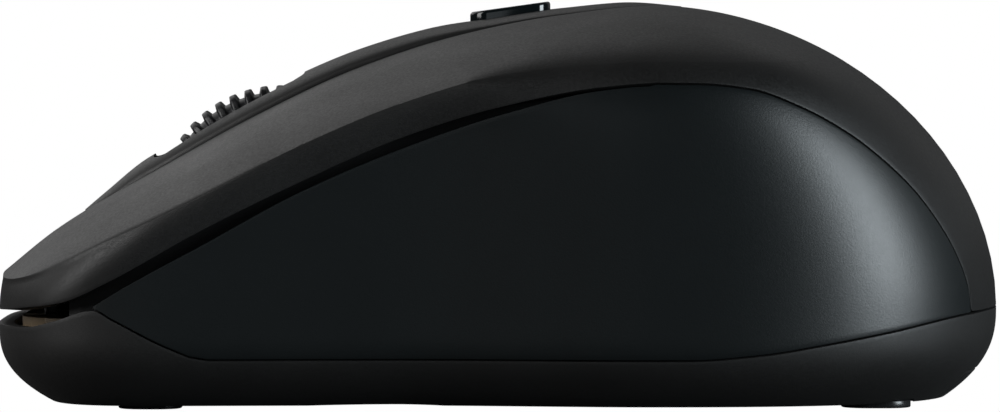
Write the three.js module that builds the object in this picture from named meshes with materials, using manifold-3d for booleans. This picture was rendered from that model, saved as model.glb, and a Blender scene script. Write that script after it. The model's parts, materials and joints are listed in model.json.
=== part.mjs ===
// A cordless computer mouse: two-part shell, side grips, sprung buttons, scroll wheel and the works inside.
// Millimetres. +X runs from the nose to the tail, +Z is up, the left button is on the -Y side.
// The origin is on the surface the mouse stands on, under the middle of its length.

import * as THREE from "three";
import { mergeVertices } from "three/addons/utils/BufferGeometryUtils.js";
import Module from "manifold-3d";

const wasm = await Module();
wasm.setup();

// Driving dimensions
const NOSE_X = -49.5;
const TAIL_X = 49.5;
const JOIN_X = 15; // highest point of the back: the tail's rounding starts here
const CORNER_X = -28; // the nose's corner rounding starts here
const NOSE_POWER = 3.2; // superellipse power of the nose in plan
const TAIL_POWER = 2.5; // and of the tail
const WALL = 1.8; // shell thickness
const SEAM = 0.3; // clearance between neighbouring mouldings
const STRIP_SEAM = 0.5; // between the strip and the buttons, whose front edges swing back a little
const UNDER_Z = 0.5; // underside of the base
const SPINE_Z = 39.2; // top of the back, at JOIN_X
const WIDEST_Z = 9.4; // level where the tail reaches furthest back
const REAR_POWER = 1.93; // power of the tail's arc seen from the side
const CROWN_POWER = 2.2; // how the top falls from the spine to the shoulder
const FOLD = 3.5; // height of the rounded fold below the shoulder
const TUCK_HEIGHT = 4.5; // the band leans in under the shoulder over this height
const HINGE_X = 8; // the button plates flex here
const BUTTON_SPLIT = 0.4; // half of the slot between the two buttons
const STRIP_X = [-41.4, 18.2];
const STRIP_HALF = 7.2;
const WHEEL = { x: -21.9, z: 19.2, radius: 12, half: 3.6, ribs: 46, ribHeight: 0.5 };
const PCB_Z = [7.7, 8.8];
const BATTERY = { radius: 5.25, length: 43.6, x: 0.4, y: 5.6, z: 7.9 };
const DOOR = { x: -3, half: 12.5, top: 3.2, thick: 1.5 };
const DPI = { x: 1.1, length: 8, width: 3.8, slope: 0.138 };
const FRONT_FOOT = { x: -34, y: 15, length: 6.2, width: 12 };
const REAR_FOOT = { x: 36.8, y: 16.4, length: 6.8, width: 5.6 };
const FOOT_Z = 0.8; // top of a foot, in its recess
const SLIDER = { x: -14.5, y: 16, length: 7, width: 3.4 };
const RECEIVER = { x: -14.5, y: -15.5, length: 19, width: 14.5 };

// Materials
const finish = (color, roughness, metalness = 0) => () =>
  new THREE.MeshStandardMaterial({ color, roughness, metalness });
const matteShell = finish(0x2b2b2c, 0.62);
const satinGrip = finish(0x101416, 0.42);
const baseBlack = finish(0x111112, 0.6);
const glossBlack = finish(0x0c1113, 0.12);
const rubber = finish(0x1d1f22, 0.8);
const innerPlastic = finish(0x26282b, 0.55);
const whitePlastic = finish(0xd9d6cc, 0.5);
const redPlastic = finish(0xa32a22, 0.45);
const boardTan = finish(0xa58a5c, 0.55);
const steel = finish(0xb9bcc0, 0.35, 1);
const batterySkin = finish(0x2f5f8c, 0.35);
const slickFoot = finish(0x1a1a1b, 0.35);
const lensClear = finish(0xcfd8dc, 0.1);

// A smooth curve z(x) through a few points, with no overshoot between them
function curve(points) {
  const n = points.length;
  const slope = [];
  for (let i = 0; i < n - 1; i += 1) {
    slope.push((points[i + 1][1] - points[i][1]) / (points[i + 1][0] - points[i][0]));
  }
  const tangent = points.map((_, i) => {
    if (i === 0) return slope[0];
    if (i === n - 1) return 0;
    const [before, after] = [slope[i - 1], slope[i]];
    return before * after <= 0 ? 0 : (2 * before * after) / (before + after);
  });
  return (x) => {
    if (x <= points[0][0]) return points[0][1];
    if (x >= points[n - 1][0]) return points[n - 1][1];
    const i = points.findIndex((point) => point[0] > x) - 1;
    const width = points[i + 1][0] - points[i][0];
    const t = (x - points[i][0]) / width;
    const rise = (1 + 2 * t) * (1 - t) ** 2 * points[i][1] + t * t * (3 - 2 * t) * points[i + 1][1];
    return rise + width * (t * (1 - t) ** 2 * tangent[i] - t * t * (1 - t) * tangent[i + 1]);
  };
}

// The lines of the body. All but halfWidth give a height over x.
const halfWidth = curve([[-40, 29.8], [-28, 29.4], [-10, 28.7], [4, 30], [JOIN_X, 31]]);
const spine = curve([[-49.5, 12.6], [-44, 17], [-34, 23], [-24, 28.6], [-14, 33.3], [-4, 36.5], [6, 38.4],
  [JOIN_X, SPINE_Z]]);
const shoulder = curve([[-49.5, 8], [-46.5, 10.2], [-42.3, 13.4], [-38.3, 16.1], [-28.7, 21], [-19.1, 25.8],
  [-9.5, 29.8], [0.1, 32.6], [9.7, 34], [JOIN_X, 34.3]]);
const buttonEdge = curve([[-49.5, 9.3], [-46.6, 9.9], [-42.3, 10.6], [-38.3, 12.3], [-28.7, 17.6], [-19.1, 22.3],
  [-9.5, 26.5], [0.1, 29.5], [9.7, 31.4], [JOIN_X, 31.8]]);
const gripEdge = curve([[-39, 10.3], [-35.9, 12.2], [-28.7, 16.1], [-19.1, 21.3], [-9.5, 25.4], [0.1, 28.7],
  [9.7, 31.05], [JOIN_X, 31.5]]);
const tailSeam = [[19.3, 31.7], [24.1, 31.2], [28.9, 29.5], [33.8, 26.8], [37.2, 24.2], [40.3, 21.2], [43.2, 17.3],
  [44.9, 14.1], [45.8, 11.4], [46.1, 9.2]];
const baseRim = [[-50, 8.1], [-46, 8.2], [-43, 8.9], [-39.1, 10]];
const baseSeam = [[-39.1, 10], [-29.2, 5.1], [18.4, 5.2], [25.2, 5.7], [31.1, 6.6], [37, 7.6], [46.1, 9.2]];
const stripRise = curve([[-41.4, 0.1], [-39.4, 0.6], [-35, 1.6], [-25, 1.75], [-15, 1.55], [-7, 1.2], [0, 0.65],
  [6, 0.5], [12, 0.4], [18.2, 0.05]]);
// Depths over x: the fold at the shoulder, and the lean of the band below it
const foldDepth = curve([[-49.5, 0.35], [-46.5, 0.7], [-43, 1.2], [-38, 1.2], [-33, 0.9], [-22, 0.5], [JOIN_X, 0.5]]);
const tuckDepth = curve([[-47, 0], [-38, 0.5], [-24, 0.8], [-6, 0.8], [12, 0], [JOIN_X, 0]]);

const superellipse = (t, power) => Math.max(0, 1 - Math.abs(t) ** power) ** (1 / power);

// Height of the top surface at a place in plan, ahead of JOIN_X
function topHeight(x, y, inset = 0) {
  const edge = halfWidth(x) - foldDepth(x);
  const fall = (spine(x) - shoulder(x)) * (Math.abs(y) / edge) ** CROWN_POWER;
  return spine(x) - fall - inset;
}

// How far the wall stands inside the outline at height z, rounding under towards the base
function underInset(z, reach, power) {
  const low = UNDER_Z + reach;
  return z < low ? 5 * ((low - z) / reach) ** power : 0;
}

// The same on the wall at x, with its fold to the shoulder at height top
function wallInset(x, z, top) {
  const fold = z > top - FOLD ? foldDepth(x) * ((z - top + FOLD) / FOLD) ** 2 : 0;
  const tuck = tuckDepth(x) * THREE.MathUtils.smoothstep(top - z, 0, TUCK_HEIGHT);
  return underInset(z, 7, 2.6) + fold + tuck;
}

const WALL_STEPS = [0, 0.02, 0.05, 0.1, 0.17, 0.3, 0.5, 0.7, 0.84, 0.93, 1];
const CROWN_STEPS = [0.85, 0.68, 0.5, 0.3, 0];

// One half section at the outline point whose plan angle from the nose is given, or at x
function frontSection(x, outlineY, outward, inset) {
  const top = topHeight(x, Math.max(0, outlineY - foldDepth(x)));
  const section = [];
  for (const step of WALL_STEPS) {
    const z = UNDER_Z + (top - UNDER_Z) * step;
    const depth = wallInset(x, z, top) + inset;
    const y = Math.max(0, outlineY - depth * outward[1]);
    section.push([x - depth * outward[0], y, THREE.MathUtils.clamp(z, UNDER_Z + inset, top - inset)]);
  }
  section.unshift([section[0][0], 0, UNDER_Z + inset]);
  const edge = section.at(-1);
  for (const step of CROWN_STEPS) {
    section.push([edge[0], edge[1] * step, topHeight(edge[0], edge[1] * step, inset)]);
  }
  section.at(-1 - CROWN_STEPS.length)[2] = topHeight(edge[0], edge[1], inset);
  return section;
}

function tailSection(angle, inset) {
  const join = frontSection(JOIN_X, halfWidth(JOIN_X), [0, 1], inset);
  const reach = TAIL_X - JOIN_X;
  return join.map(([, side, z]) => {
    const level = THREE.MathUtils.clamp((z + inset - WIDEST_Z) / (SPINE_Z - WIDEST_Z), 0, 1);
    const lower = z < WIDEST_Z ? underInset(z - inset, 8.5, 2.4) : 0;
    const length = Math.max(0, reach * superellipse(level, REAR_POWER) - lower - inset * (1 - level));
    const power = 2 + (TAIL_POWER - 2) * Math.min(1, (SPINE_Z - z) / 5);
    const back = Math.cos(angle) ** (2 / power);
    const aside = Math.sin(angle) ** (2 / power);
    return side > 0 ? [JOIN_X + length * back, side * aside, z] : [JOIN_X + length * back * (z < WIDEST_Z), 0, z];
  });
}

// The whole body as one closed skin, standing inset inside the outer surface
function bodySkin(inset) {
  const sections = [];
  const reach = CORNER_X - NOSE_X;
  const noseSteps = 9;
  for (let i = 0; i < noseSteps; i += 1) {
    const angle = (i / noseSteps) * (Math.PI / 2);
    const back = Math.cos(angle) ** (2 / NOSE_POWER);
    const aside = Math.sin(angle) ** (2 / NOSE_POWER);
    const x = CORNER_X - reach * back;
    const normal = new THREE.Vector2(-(back ** (NOSE_POWER - 1)) / reach, aside ** (NOSE_POWER - 1) / 29.4);
    normal.normalize();
    sections.push(frontSection(x, halfWidth(x) * aside, [normal.x, normal.y], inset));
  }
  for (let i = 0; i < 11; i += 1) {
    const x = CORNER_X + (JOIN_X - CORNER_X) * (i / 11);
    sections.push(frontSection(x, halfWidth(x), [0, 1], inset));
  }
  const tailSteps = 9;
  for (let i = tailSteps; i >= 0; i -= 1) {
    sections.push(tailSection((i / tailSteps) * (Math.PI / 2), inset));
  }
  return mirroredSkin(sections);
}

// Closes half sections, whose ends lie on the middle plane, with their mirror image
function mirroredSkin(sections) {
  const rows = sections.length;
  const columns = sections[0].length;
  const positions = [];
  for (const side of [-1, 1]) {
    for (const section of sections) {
      for (const [x, y, z] of section) positions.push(x, side * y, z);
    }
  }
  const index = [];
  for (const side of [0, 1]) {
    for (let i = 0; i < rows - 1; i += 1) {
      for (let j = 0; j < columns - 1; j += 1) {
        const a = side * rows * columns + i * columns + j;
        const [b, c, d] = [a + columns, a + columns + 1, a + 1];
        index.push(...(side ? [a, d, c, a, c, b] : [a, c, d, a, b, c]));
      }
    }
  }
  const geometry = new THREE.BufferGeometry();
  geometry.setAttribute("position", new THREE.Float32BufferAttribute(positions, 3));
  geometry.setIndex(index);
  return geometry;
}

// Booleans
function solid(geometry) {
  const bare = geometry.clone();
  bare.deleteAttribute("normal");
  bare.deleteAttribute("uv");
  const merged = mergeVertices(bare, 1e-3);
  const kept = [];
  const index = merged.index.array;
  for (let i = 0; i < index.length; i += 3) {
    const [a, b, c] = index.slice(i, i + 3);
    if (a !== b && b !== c && c !== a) kept.push(a, b, c);
  }
  return new wasm.Manifold(
    new wasm.Mesh({
      numProp: 3,
      vertProperties: new Float32Array(merged.attributes.position.array),
      triVerts: new Uint32Array(kept),
    }),
  );
}

function shapeOf(body) {
  const mesh = body.getMesh();
  const geometry = new THREE.BufferGeometry();
  geometry.setAttribute("position", new THREE.BufferAttribute(mesh.vertProperties, 3));
  geometry.setIndex(new THREE.BufferAttribute(mesh.triVerts, 1));
  return geometry;
}

const joined = (...bodies) => bodies.reduce((whole, body) => whole.add(body));
const cut = (body, ...tools) => tools.reduce((whole, tool) => whole.subtract(tool), body);

// Simple forms
const box = (x0, x1, y0, y1, z0, z1) =>
  new THREE.BoxGeometry(x1 - x0, y1 - y0, z1 - z0).translate((x0 + x1) / 2, (y0 + y1) / 2, (z0 + z1) / 2);
const block = (...limits) => solid(box(...limits));

function post(x, y, z0, z1, radius, sides = 16) {
  const rod = new THREE.CylinderGeometry(radius, radius, z1 - z0, sides);
  return rod.rotateX(Math.PI / 2).translate(x, y, (z0 + z1) / 2);
}

function rodAlongY(x, z, y0, y1, radius, sides = 32) {
  return new THREE.CylinderGeometry(radius, radius, y1 - y0, sides).translate(x, (y0 + y1) / 2, z);
}

// An outline in plan, raised from z0 to z1
function slab(shape, z0, z1, curveSegments = 3) {
  return new THREE.ExtrudeGeometry(shape, { depth: z1 - z0, bevelEnabled: false, curveSegments }).translate(0, 0, z0);
}

// An outline in side view, through the whole width or between y0 and y1
function sideSlab(points, y0 = -40, y1 = 40) {
  const shape = new THREE.Shape(points.map(([x, z]) => new THREE.Vector2(x, z)));
  const geometry = new THREE.ExtrudeGeometry(shape, { depth: y1 - y0, bevelEnabled: false });
  return geometry.rotateX(Math.PI / 2).translate(0, y1, 0);
}

function roundedRect(x, y, length, width, radius) {
  const [x0, x1, y0, y1] = [x - length / 2, x + length / 2, y - width / 2, y + width / 2];
  const shape = new THREE.Shape();
  shape.moveTo(x0 + radius, y0);
  shape.lineTo(x1 - radius, y0);
  shape.absarc(x1 - radius, y0 + radius, radius, -Math.PI / 2, 0);
  shape.lineTo(x1, y1 - radius);
  shape.absarc(x1 - radius, y1 - radius, radius, 0, Math.PI / 2);
  shape.lineTo(x0 + radius, y1);
  shape.absarc(x0 + radius, y1 - radius, radius, Math.PI / 2, Math.PI);
  shape.lineTo(x0, y0 + radius);
  shape.absarc(x0 + radius, y0 + radius, radius, Math.PI, 1.5 * Math.PI);
  return shape;
}

const lifted = (points, rise) => points.map(([x, z]) => [x, z + rise]);
const sampled = (line, from, to, steps) =>
  Array.from({ length: steps + 1 }, (_, i) => {
    const x = from + ((to - from) * i) / steps;
    return [x, line(x)];
  });

// The object and its nodes
const mouse = new THREE.Group();
const works = new THREE.Group();
mouse.add(works);

function add(name, shape, material, parent = mouse) {
  const geometry = shape.getMesh ? shapeOf(shape) : shape;
  const mesh = new THREE.Mesh(geometry, material());
  mesh.name = name;
  parent.add(mesh);
  return mesh;
}

const outer = solid(bodySkin(0));
const inner = solid(bodySkin(WALL));
const skin = outer.subtract(inner);

// Half width of the strip's outline at x, grown all round
function stripHalf(x, grow = 0) {
  const middle = (STRIP_X[0] + STRIP_X[1]) / 2;
  const length = (STRIP_X[1] - STRIP_X[0]) / 2 + grow;
  return (STRIP_HALF + grow) * superellipse((x - middle) / length, 2.4);
}

function stripOutline(grow, steps = 28) {
  const middle = (STRIP_X[0] + STRIP_X[1]) / 2;
  const length = (STRIP_X[1] - STRIP_X[0]) / 2 + grow;
  const points = [];
  for (let i = 0; i < steps; i += 1) {
    const angle = (i / steps) * 2 * Math.PI;
    const x = middle + length * Math.cos(angle);
    points.push(new THREE.Vector2(x, Math.sign(Math.sin(angle)) * stripHalf(x, grow)));
  }
  return new THREE.Shape(points);
}

// Region of the top mouldings in side view, from one x to another
const topRegion = (from, to) => {
  const last = Math.min(to, JOIN_X);
  const edge = from < JOIN_X ? sampled(buttonEdge, from, last, 14) : [];
  const tail = to > JOIN_X ? [...tailSeam, [46.4, 9.6], [to, 9.75]] : [];
  return solid(sideSlab([...edge, ...tail, [to, 50], [from, 50]]));
};

function addButton(name, side) {
  const slot = block(-60, 60, -BUTTON_SPLIT, BUTTON_SPLIT, 0, 60);
  const half = block(-60, 60, Math.min(0, side * 40), Math.max(0, side * 40), 0, 60);
  const plate = cut(
    skin.intersect(topRegion(NOSE_X - 1, HINGE_X - SEAM)).intersect(half),
    slot,
    solid(slab(stripOutline(STRIP_SEAM), 0, 60)),
  );
  const hook = block(-44.8, -42.9, side * 10 - 1, side * 10 + 1, 6.2, topHeight(-43.5, 10) - 1.3);
  const presser = block(-34.2, -32.2, side * 16 - 1.8, side * 16 + 1.8, 16.2, topHeight(-33.2, 16) - 1.3);
  add(name, joined(plate, hook, presser), matteShell);
}

function addPalmCover() {
  const cover = cut(skin.intersect(topRegion(HINGE_X + SEAM, 60)), solid(slab(stripOutline(SEAM), 20, 60)));
  const posts = [-1, 1].map((side) => solid(post(26, side * 17, 9.6, 34, 2.6)));
  const pilots = [-1, 1].map((side) => solid(post(26, side * 17, 9, 18, 1.2)));
  add("palm_cover", cut(joined(cover, ...posts), ...pilots), matteShell);
}

function addSidePanel(name, side) {
  const top = sampled(gripEdge, -39, JOIN_X, 16);
  const bottom = lifted(baseSeam.slice(0, -1), SEAM).reverse();
  const tail = lifted(tailSeam.slice(0, -1), -SEAM);
  const outline = [...top, ...tail, [45.8, 9.45], ...bottom];
  const region = sideSlab(outline, Math.min(side * 40, 0), Math.max(side * 40, 0));
  add(name, skin.intersect(solid(region)), satinGrip);
}

function addCentreStrip() {
  const rows = [];
  const steps = 30;
  for (let i = 0; i <= steps; i += 1) {
    const t = Math.cos((Math.PI * (steps - i)) / steps);
    const x = (STRIP_X[0] + STRIP_X[1]) / 2 + (t * (STRIP_X[1] - STRIP_X[0])) / 2;
    const half = stripHalf(x);
    const row = [[x, 0, spineOf(x) - WALL]];
    for (const step of [1, 0.94, 0.75, 0.45, 0]) {
      const rise = stripRise(x) * Math.sqrt(1 - step * step);
      row.push([x, half * step, spineOf(x) - 0.25 * step * step + rise]);
    }
    row.splice(1, 0, [x, half, spineOf(x) - WALL]);
    rows.push(row);
  }
  const ridge = solid(mirroredSkin(rows));
  const well = solid(rodAlongY(WHEEL.x, WHEEL.z, -4.4, 4.4, WHEEL.radius + 0.7, 40));
  const mouth = block(-34, -19.4, -4.4, 4.4, 18, 45);
  const pill = solid(slab(roundedRect(DPI.x, 0, DPI.length + 0.6, DPI.width + 0.6, DPI.width / 2 + 0.3), 30, 45));
  const studs = [-1, 1].map((side) => solid(post(7.2, side * 4.6, 32.3, spineOf(7.2) - 1, 1.1, 10)));
  add("centre_strip", cut(joined(ridge, ...studs), well, mouth, pill), matteShell);
}

// Height of the top surface on the middle plane, along the whole strip
function spineOf(x) {
  if (x <= JOIN_X) return spine(x);
  return WIDEST_Z + (SPINE_Z - WIDEST_Z) * superellipse((x - JOIN_X) / (TAIL_X - JOIN_X), REAR_POWER);
}

const caseScrews = [[-41.5, 0], [26, -17], [26, 17]];
const boardScrews = [[-40.2, -15], [-40.2, 15]];
const boardPosts = [...boardScrews, [-28.5, -19], [-5.6, 20.5]];

function addBase() {
  const seam = [...baseRim, ...baseSeam.slice(1), [60, 9.45]];
  const tub = skin.intersect(solid(sideSlab([...lifted(seam, 0), [60, -5], [-60, -5], [-60, 8.1]])));
  const posts = boardPosts.map(([x, y]) => solid(post(x, y, 1.5, PCB_Z[0] - SEAM, 2)));
  const towers = caseScrews.map(([x, y]) => solid(post(x, y, 1.5, x < 0 ? 7.2 : 9.2, 3)));
  const bayWalls = [-1, 1].map((side) => block(-2.6, 41, side * 13.6 - 0.6, side * 13.6 + 0.6, 1.5, 10));
  const bayEnd = block(-4.4, -3.2, -13.6, 13.6, 1.5, 7.2);
  const parts = joined(tub, ...posts, ...towers, ...bayWalls, bayEnd);
  const doorway = block(DOOR.x - SEAM, 60, -DOOR.half - SEAM, DOOR.half + SEAM, -1, DOOR.top + SEAM);
  const eye = solid(slab(roundedRect(-8, 0, 7, 9, 2), -1, 6));
  const slot = solid(slab(roundedRect(SLIDER.x + 1.2, SLIDER.y, SLIDER.length + 3, SLIDER.width + 0.8, 1), -1, 6));
  const stow = block(
    RECEIVER.x - RECEIVER.length / 2 - 0.4,
    RECEIVER.x + RECEIVER.length / 2 + 0.4,
    RECEIVER.y - RECEIVER.width / 2 - 0.4,
    RECEIVER.y + RECEIVER.width / 2 + 0.4,
    -1,
    6,
  );
  const feet = footPlaces.map(([, foot, x, y]) =>
    solid(slab(roundedRect(x, y, foot.length + 0.6, foot.width + 0.6, 2.9), -1, FOOT_Z + SEAM)));
  const bores = caseScrews.flatMap(([x, y]) => [
    solid(post(x, y, -1, 20, 1.3, 12)),
    solid(post(x, y, -1, 2.4, 2.6, 16)),
  ]);
  const pilots = boardScrews.map(([x, y]) => solid(post(x, y, 3, 9, 0.95, 10)));
  const bay = block(-2, 45.6, -11.2, 11.2, 2.2, 13);
  add("base_shell", cut(parts, doorway, bay, eye, slot, stow, ...feet, ...bores, ...pilots), baseBlack);
}

const footPlaces = [
  ["front_left_foot", FRONT_FOOT, FRONT_FOOT.x, -FRONT_FOOT.y],
  ["front_right_foot", FRONT_FOOT, FRONT_FOOT.x, FRONT_FOOT.y],
  ["rear_left_foot", REAR_FOOT, REAR_FOOT.x, -REAR_FOOT.y],
  ["rear_right_foot", REAR_FOOT, REAR_FOOT.x, REAR_FOOT.y],
];

function addFeet() {
  for (const [name, foot, x, y] of footPlaces) {
    add(name, slab(roundedRect(x, y, foot.length, foot.width, 2.6), 0, FOOT_Z), slickFoot);
  }
}

function addBatteryDoor() {
  const reachBox = block(DOOR.x, 60, -DOOR.half, DOOR.half, -1, DOOR.top);
  const plate = outer.intersect(reachBox).subtract(block(-10, 46, -20, 20, UNDER_Z + DOOR.thick, 10));
  const ribs = [-1, 1].map((side) => block(6, 18, side * 10.4 - 0.5, side * 10.4 + 0.5, 1.4, 2.4));
  const grooves = [0, 1, 2, 3, 4].map((i) => block(34 + i * 1.6, 34.7 + i * 1.6, -5, 5, 0, 0.8));
  add("battery_door", cut(joined(plate, ...ribs), ...grooves), baseBlack);
}

// A cylinder with a terminal: the turned outline of one battery, placed by the mesh's own position
function addBatteries() {
  const { radius, length } = BATTERY;
  const outline = [[0, 0], [4.4, 0], [radius, 0.5], [radius, length - 0.9], [4.6, length - 0.4], [1.9, length - 0.4],
    [1.9, length + 0.4], [0, length + 0.4]];
  for (const side of [-1, 1]) {
    const turned = new THREE.LatheGeometry(outline.map(([r, h]) => new THREE.Vector2(r, h)), 18);
    const battery = add(side < 0 ? "left_battery" : "right_battery", turned, batterySkin, works);
    battery.rotation.z = side * (Math.PI / 2);
    battery.position.set(side < 0 ? BATTERY.x : BATTERY.x + length, side * BATTERY.y, BATTERY.z);
  }
}

// Flat contact at the nub end and a coiled cone at the other, for each battery
function addContacts() {
  for (const side of [-1, 1]) {
    const word = side < 0 ? "left" : "right";
    const nubX = side < 0 ? 44.75 : -1;
    const springX = side < 0 ? -0.85 : 45.3;
    const y = side * BATTERY.y;
    add(`${word}_contact_plate`, box(nubX, nubX + 0.4, y - 4, y + 4, 3.9, 11.4), steel, works);
    const coil = springCoil(3.4, 1.5, 0.85, 3.1, 0.2);
    coil.rotateY(side < 0 ? Math.PI / 2 : -Math.PI / 2);
    coil.translate(springX, y, BATTERY.z);
    add(`${word}_contact_spring`, coil, steel, works);
  }
}

// A conical helix along +Z, starting at z = 0
function springCoil(radius, endRadius, height, turns, wire, steps = 9) {
  class Helix extends THREE.Curve {
    getPoint(t) {
      const angle = turns * 2 * Math.PI * t;
      const r = radius + (endRadius - radius) * t;
      return new THREE.Vector3(r * Math.cos(angle), r * Math.sin(angle), height * t);
    }
  }
  const section = new THREE.Shape();
  section.absarc(0, 0, wire, 0, 2 * Math.PI);
  const options = { steps: Math.round(turns * steps), curveSegments: 2, bevelEnabled: false, extrudePath: new Helix() };
  return new THREE.ExtrudeGeometry(section, options);
}

function addBoard() {
  const sheet = solid(slab(roundedRect(-24.9, 0, 43.8, 44, 9), PCB_Z[0], PCB_Z[1]));
  const wheelSlot = block(-29.6, -14.2, -4.8, 4.8, 5, 10);
  const hookSlots = [-1, 1].map((side) => block(-60, -42.3, side * 10 - 1.6, side * 10 + 1.6, 5, 10));
  const window = block(-10.4, -5.6, -2, 2, 5, 10);
  const holes = boardScrews.map(([x, y]) => solid(post(x, y, 5, 10, 1.3, 12)));
  const relief = solid(post(-41.5, 0, 5, 10, 3.4, 16));
  add("main_pcb", cut(sheet, wheelSlot, ...hookSlots, window, ...holes, relief), boardTan, works);
}

// Switch cases rest on the board, each with a well for its plunger
function addSwitches() {
  const floor = PCB_Z[1] + 0.05;
  for (const [word, side] of [["left", -1], ["right", 1]]) {
    const body = cut(
      block(-37.4, -24.6, side * 16 - 2.9, side * 16 + 2.9, floor, 15.3),
      block(-34.8, -31.6, side * 16 - 1.1, side * 16 + 1.1, 14, 16),
    );
    add(`${word}_switch`, body, innerPlastic, works);
    add(`${word}_plunger`, box(-34.5, -31.9, side * 16 - 0.8, side * 16 + 0.8, 14.9, 15.9), redPlastic, works);
  }
  const tact = cut(block(-24.9, -18.9, 5.6, 11.4, floor, 12.6), solid(post(WHEEL.x, 8.5, 11.5, 14, 1.75, 16)));
  add("middle_switch", tact, innerPlastic, works);
  add("middle_plunger", post(WHEEL.x, 8.5, 12.1, 13.6, 1.45, 16), redPlastic, works);
}

function addWheel() {
  const { x, z, radius, half, ribs, ribHeight } = WHEEL;
  const root = radius - ribHeight;
  const pitch = (2 * Math.PI) / ribs;
  const teeth = [];
  for (let i = 0; i < ribs; i += 1) {
    for (const [share, r] of [[0, root], [0.3, root], [0.42, radius], [0.88, radius]]) {
      const angle = (i + share) * pitch;
      teeth.push(new THREE.Vector2(r * Math.cos(angle), r * Math.sin(angle)));
    }
  }
  const ring = new THREE.Shape(teeth);
  const bore = new THREE.Path();
  bore.absarc(0, 0, 9.3, 0, 2 * Math.PI, true);
  ring.holes.push(bore);
  const tyre = new THREE.ExtrudeGeometry(ring, { depth: 2 * half, bevelEnabled: false, curveSegments: 20 });
  add("wheel_tyre", tyre.rotateX(Math.PI / 2).translate(x, half, z), rubber, works);
  const disc = [[1.6, -3.1], [3.4, -3.1], [4.4, -1], [7.2, -1], [8, -3.1], [9, -3.1], [9, 3.1], [8, 3.1], [7.2, 1],
    [4.4, 1], [3.4, 3.1], [1.6, 3.1], [1.6, -3.1]];
  const hub = new THREE.LatheGeometry(disc.map(([r, h]) => new THREE.Vector2(r, h)), 24).translate(x, 0, z);
  add("wheel_hub", hub, innerPlastic, works);
  add("wheel_axle", rodAlongY(x, z, -11.4, 10.6, 1.3, 6), whitePlastic, works);
}

// The axle turns in the encoder on the left and in a sprung saddle on the right
function addWheelSupports() {
  const { x, z } = WHEEL;
  const floor = PCB_Z[1] + 0.05;
  const encoder = cut(
    block(x - 5.6, x + 5.6, -12.4, -6.6, floor, z + 3.6),
    solid(rodAlongY(x, z, -13, -6, 2.1, 20)),
    block(x - 6, x - 3.4, -13, -6, z + 1.4, z + 4),
    block(x + 3.4, x + 6, -13, -6, z + 1.4, z + 4),
  );
  add("scroll_encoder", encoder, innerPlastic, works);
  const saddle = cut(block(x - 2.6, x + 2.6, 6.8, 10.2, 13.9, z + 2.6), solid(rodAlongY(x, z, 6, 11, 1.6, 16)));
  add("wheel_saddle", saddle, whitePlastic, works);
  const guide = cut(block(x - 5.6, x + 5.6, 6.4, 12.8, floor, z + 4), block(x - 3.3, x + 3.3, 5, 11.7, 5, 40));
  add("wheel_bracket", guide, innerPlastic, works);
  add("saddle_spring", springCoil(2.1, 2.1, 0.8, 2.1, 0.17).translate(x, 8.5, 12.85), steel, works);
}

function addDpi() {
  const { x, length, width, slope } = DPI;
  const height = 39.05;
  const pill = solid(slab(roundedRect(x, 0, length, width, width / 2 - 0.01), 36.4, 42, 8));
  const above = new THREE.BoxGeometry(30, 20, 10).translate(0, 0, 5).rotateY(-slope).translate(x, 0, height);
  const stem = block(x - 1.1, x + 1.1, -1.1, 1.1, 35.1, 37);
  add("dpi_button", joined(pill.subtract(solid(above)), stem), glossBlack);
  add("dpi_board", box(x - 5, x + 8.4, -6.4, 6.4, 30.9, 31.9), boardTan, works);
  const body = cut(block(x - 2.6, x + 2.6, -2.6, 2.6, 31.95, 34.1), solid(post(x, 0, 33, 35, 1.35, 14)));
  add("dpi_switch", body, innerPlastic, works);
  add("dpi_plunger", post(x, 0, 33.4, 34.8, 1.05, 14), redPlastic, works);
}

function addSensor() {
  add("sensor_chip", box(-12.2, -3.8, -4.5, 4.5, PCB_Z[1] + 0.05, 11), innerPlastic, works);
  const lens = joined(
    block(-12.4, -4.8, -4.2, 4.2, 6.3, PCB_Z[0] - 0.1),
    solid(slab(roundedRect(-8, 0, 6, 8, 1.7), 2.2, 6.5)),
  );
  add("sensor_lens", lens, lensClear, works);
}

function addElectronics() {
  const floor = PCB_Z[1] + 0.05;
  add("radio_chip", box(-16.6, -11.6, -19, -14, floor, 9.8), innerPlastic, works);
  add("crystal", slab(roundedRect(-14, 14, 4.6, 10.6, 2.2), floor, 12.2), steel, works);
  add("capacitor", post(-7.6, 14, floor, 14.6, 2.5, 20), innerPlastic, works);
}

function addPower() {
  const { x, y, length, width } = SLIDER;
  add("power_switch", box(x - 3.2, x + 5.6, y - 2.2, y + 2.2, 5, PCB_Z[0] - 0.1), steel, works);
  const knob = cut(
    solid(slab(roundedRect(x, y, length, width, 0.8), 0.7, 4.6)),
    ...[-1, 0, 1].map((i) => block(x + i * 1.6 - 0.3, x + i * 1.6 + 0.3, y - 3, y + 3, 0, 1.2)),
  );
  add("power_slider", knob, redPlastic, works);
}

function addReceiver() {
  const { x, y, length, width } = RECEIVER;
  const back = x + length / 2;
  const cap = solid(slab(roundedRect(back - 3.1, y, 6.2, width, 1.6), 0.8, 6.6));
  add("receiver_cap", cap, innerPlastic, works);
  const shell = cut(
    block(x - length / 2, back - 6.5, y - 6, y + 6, 1.4, 5.9),
    block(x - length / 2 - 1, back - 7.5, y - 5.6, y + 5.6, 1.8, 3.6),
  );
  add("receiver_plug", shell, steel, works);
}

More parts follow.
